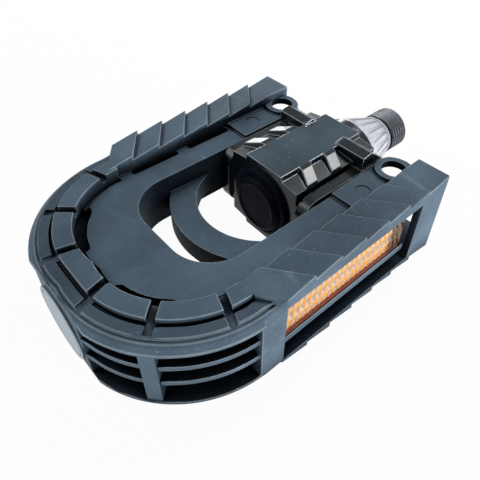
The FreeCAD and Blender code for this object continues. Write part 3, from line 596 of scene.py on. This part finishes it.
def lens(side):
    """Amber lens; side is -1 for the right of the pedal and 1 for the left."""
    bm = bmesh.new()
    middle = Vector((sum(LENS_X) / 2, side * sum(LENS_Y) / 2, sum(LENS_Z) / 2)) * MM
    size = Vector((LENS_X[1] - LENS_X[0], LENS_Y[1] - LENS_Y[0], LENS_Z[1] - LENS_Z[0])) * MM
    block = Matrix.Translation(middle) @ Matrix.Diagonal((*size, 1.0))
    bmesh.ops.create_cube(bm, size=1.0, matrix=block)
    front = [f for f in bm.faces if f.normal.y * side > FACING]
    bmesh.ops.inset_region(bm, faces=front, thickness=LENS_RIM * MM, depth=-FIELD_SUNK * MM)
    long_edges = [e for e in front[0].edges if runs_level(e, 2)]
    bmesh.ops.subdivide_edges(bm, edges=long_edges, cuts=CELLS_LONG - 1, use_grid_fill=True)
    tall = [e for e in bm.edges if runs_level(e, 0)
            and any(in_field(f, side) for f in e.link_faces)]
    bmesh.ops.subdivide_edges(bm, edges=tall, cuts=CELLS_TALL - 1, use_grid_fill=True)
    field = [f for f in bm.faces if in_field(f, side) and f.calc_area() < CELL_AREA_LIMIT]
    for tip in bmesh.ops.poke(bm, faces=field)["verts"]:
        tip.co.y -= side * CELL_DEEP * MM
    print("cells on a lens:", len(field))
    return bm


for name, side in (("right", -1), ("left", 1)):
    place_piece(f"lens_{name}", lens(side), "platform", [amber], "amber", f"reflector_{name}")

# %% [markdown]
# ## The working parts inside
# Pins, sliders, cups, balls, cone, washer, nut and seal are plain turned or stamped pieces
# whose solids are already right. They keep their meshes and only get their metals: plated
# steel with turning marks, polished ball steel and black rubber. The drawn wire made here is
# for the springs of the next step.

# %% Metals and rubber of the small parts
def plated_steel(name, dark, light, rough):
    """Bright steel between two tones, with turning marks; rough is its middle roughness."""
    material, place = new_finish(name, Metallic=1.0)
    marks = place.noise(500.0, 3.0, (9.0, 1.0, 1.0))
    stain = place.noise(120.0, 4.0)
    return feed(material, Base_Color=stain.tint(dark, light),
                Roughness=(rough - 0.06) + 0.18 * marks, Normal=marks.bump(0.08, 0.03 * MM))


def seal_rubber():
    """Black rubber with a dull bloom."""
    material, place = new_finish("seal_rubber", Specular_IOR_Level=0.35)
    bloom = place.noise(300.0, 4.0)
    return feed(material, Base_Color=bloom.tint((0.008, 0.008, 0.009), (0.024, 0.025, 0.027)),
                Roughness=0.6 + 0.25 * bloom, Normal=bloom.bump(0.2, 0.05 * MM))


zinc = plated_steel("zinc_plate", (0.36, 0.37, 0.39), (0.56, 0.57, 0.59), 0.34)
wire = plated_steel("spring_wire", (0.28, 0.29, 0.31), (0.42, 0.43, 0.45), 0.30)
polished = plated_steel("ball_steel", (0.66, 0.67, 0.69), (0.78, 0.79, 0.80), 0.12)
SMALL_PARTS = {
    "hinge_pin_right": zinc, "hinge_pin_left": zinc, "slider_right": zinc, "slider_left": zinc,
    "near_cup": zinc, "far_cup": zinc, "near_balls": polished, "far_balls": polished,
    "bearing_cone": zinc, "tab_washer": zinc, "lock_nut": zinc, "dust_seal": seal_rubber(),
}
for node, finish in SMALL_PARTS.items():
    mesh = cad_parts[node].data
    mesh.materials.clear()
    mesh.materials.append(finish)
print("small parts finished:", len(SMALL_PARTS))

# %% [markdown]
# ## Push springs
# A spring sits behind each slider and shortens by the 4 mm that the platform is pushed. A rigid
# coil would be cut by the slider, and one that rides on the slider would cut the core. Here a copy
# of each coil is placed on the core with its own mesh.

# %% Spring coils
for tail in ("right", "left"):
    coil = place_piece(f"spring_coil_{tail}", merged(f"push_spring_{tail}"), "core", [wire],
                       "spring_steel", f"push_spring_{tail}")
    coil.data.shade_smooth()
    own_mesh(coil)

# %% [markdown]
# ## Floor and light
# The pedal is shown on plain white. The floor is a pale sheet that keeps a faint shadow: it is
# white to the camera, to reflections and through gaps, and only pale to other light. Five soft
# boxes light the pedal. A bright gloss shows only where a face mirrors a lamp, so the top and
# the back box hang where the core's near and far teeth mirror them. The far box lights the
# deck from across, and two low strips reach the walls of the tip and of the side.

# %% Floor and world
FLOOR_HALF = 3.0
FLOOR_GREY, WHITE = (0.85, 0.85, 0.85, 1.0), (1.0, 1.0, 1.0, 1.0)
WHITE_SHARE, SHELL_LEVEL = 0.96, 0.08


def background_rays(start):
    """1 for rays from the camera, through glass or off a gloss, 0 for the rest."""
    camera_ray = start.make("LightPath", out=0)
    glossy_ray = start.make("LightPath", out=3)
    through_ray = start.make("LightPath", out=6)
    return camera_ray.sum("MAXIMUM", through_ray.sum("MAXIMUM", glossy_ray))


floor_bm = bmesh.new()
bmesh.ops.create_grid(floor_bm, x_segments=1, y_segments=1, size=FLOOR_HALF,
                      matrix=Matrix.Translation((0, 0, cad_low.z)))
floor_mesh = bpy.data.meshes.new("floor_sheet")
floor_bm.to_mesh(floor_mesh)
floor_bm.free()
floor_sheet = bpy.data.objects.new("floor_sheet", floor_mesh)
bpy.context.scene.collection.objects.link(floor_sheet)
pale_floor = bpy.data.materials.new("pale_floor")
pale_floor.use_nodes = True
floor_tree = pale_floor.node_tree
start = Wire(floor_tree, None)
shadowed = start.make("BsdfDiffuse", None, {"Color": FLOOR_GREY})
white = start.make("Emission", None, {"Color": WHITE, "Strength": 1.0})
share = background_rays(start) * WHITE_SHARE
mixed = start.make("MixShader", None, {0: share, 1: shadowed, 2: white})
floor_tree.links.new(mixed.socket, floor_tree.nodes["Material Output"].inputs["Surface"])
floor_mesh.materials.append(pale_floor)

world = bpy.data.worlds.new("studio")
bpy.context.scene.world = world
world.use_nodes = True
start = Wire(world.node_tree, None)
strength = SHELL_LEVEL + background_rays(start) * (1.0 - SHELL_LEVEL)
shell = start.make("Background", None, {"Color": WHITE, "Strength": strength})
world.node_tree.links.new(shell.socket, world.node_tree.nodes["World Output"].inputs["Surface"])
print("floor at", round(cad_low.z / MM, 2), "mm")

# %% Lamps
TARGET = Vector((-62.0, 0.0, 0.0)) * MM


def soft_box(name, direction, far, wide, tall, watts):
    """A lamp of wide by tall metres, far metres from the target, facing it."""
    lamp = bpy.data.lights.new(name, "AREA")
    lamp.shape = "RECTANGLE"
    lamp.size = wide
    lamp.size_y = tall
    lamp.energy = watts
    holder = bpy.data.objects.new(name, lamp)
    away = Vector(direction).normalized()
    holder.location = TARGET + away * far
    holder.rotation_euler = away.to_track_quat("Z", "Y").to_euler()
    bpy.context.scene.collection.objects.link(holder)


soft_box("soft_box_top", (0.60, 0.06, 0.80), 0.60, 0.18, 0.15, 2.1)
soft_box("soft_box_far", (-0.45, 0.60, 0.66), 0.60, 0.30, 0.30, 1.4)
soft_box("soft_box_back", (0.58, 0.80, 0.17), 0.60, 0.28, 0.15, 1.2)
soft_box("soft_box_tip", (-0.98, -0.18, 0.03), 0.50, 0.36, 0.04, 1.4)
soft_box("soft_box_side", (0.40, -0.91, 0.06), 0.50, 0.36, 0.04, 3.3)
print("five soft boxes")

# %% [markdown]
# ## Camera
# The picture was taken from the crankless end, well above and to the right, with a fairly short
# lens. The place, turn and lens come from matching the pedal's known points to the picture.

# %% Camera
PICTURE_WIDE, FOCAL_LONG = 480.0, 497.5
PICTURE_MIDDLE = (259.38, 195.66)
CAMERA_SPOT, SENSOR = (-131.16, -80.60, 100.14), 36.0
yaw, pitch, roll = math.radians(-43.013), math.radians(41.391), math.radians(1.602)
back = Vector((math.sin(yaw) * math.cos(pitch), -math.cos(yaw) * math.cos(pitch), math.sin(pitch)))
right = Vector((math.cos(yaw), math.sin(yaw), 0.0))
up = back.cross(right)
turned_right = math.cos(roll) * right + math.sin(roll) * up
turned_up = -math.sin(roll) * right + math.cos(roll) * up
portrait = bpy.data.cameras.new("portrait")
portrait.sensor_width = SENSOR
portrait.lens = SENSOR * FOCAL_LONG / PICTURE_WIDE
portrait.shift_x = (PICTURE_WIDE / 2 - PICTURE_MIDDLE[0]) / PICTURE_WIDE
portrait.shift_y = (PICTURE_MIDDLE[1] - PICTURE_WIDE / 2) / PICTURE_WIDE
portrait.clip_start = 5.0 * MM
camera = bpy.data.objects.new("portrait", portrait)
camera.matrix_world = Matrix((turned_right, turned_up, back)).transposed().to_4x4()
camera.location = Vector(CAMERA_SPOT) * MM
bpy.context.scene.collection.objects.link(camera)
bpy.context.scene.camera = camera
bpy.context.scene.view_settings.view_transform = "Standard"
print("camera", [round(v / MM, 1) for v in camera.location])
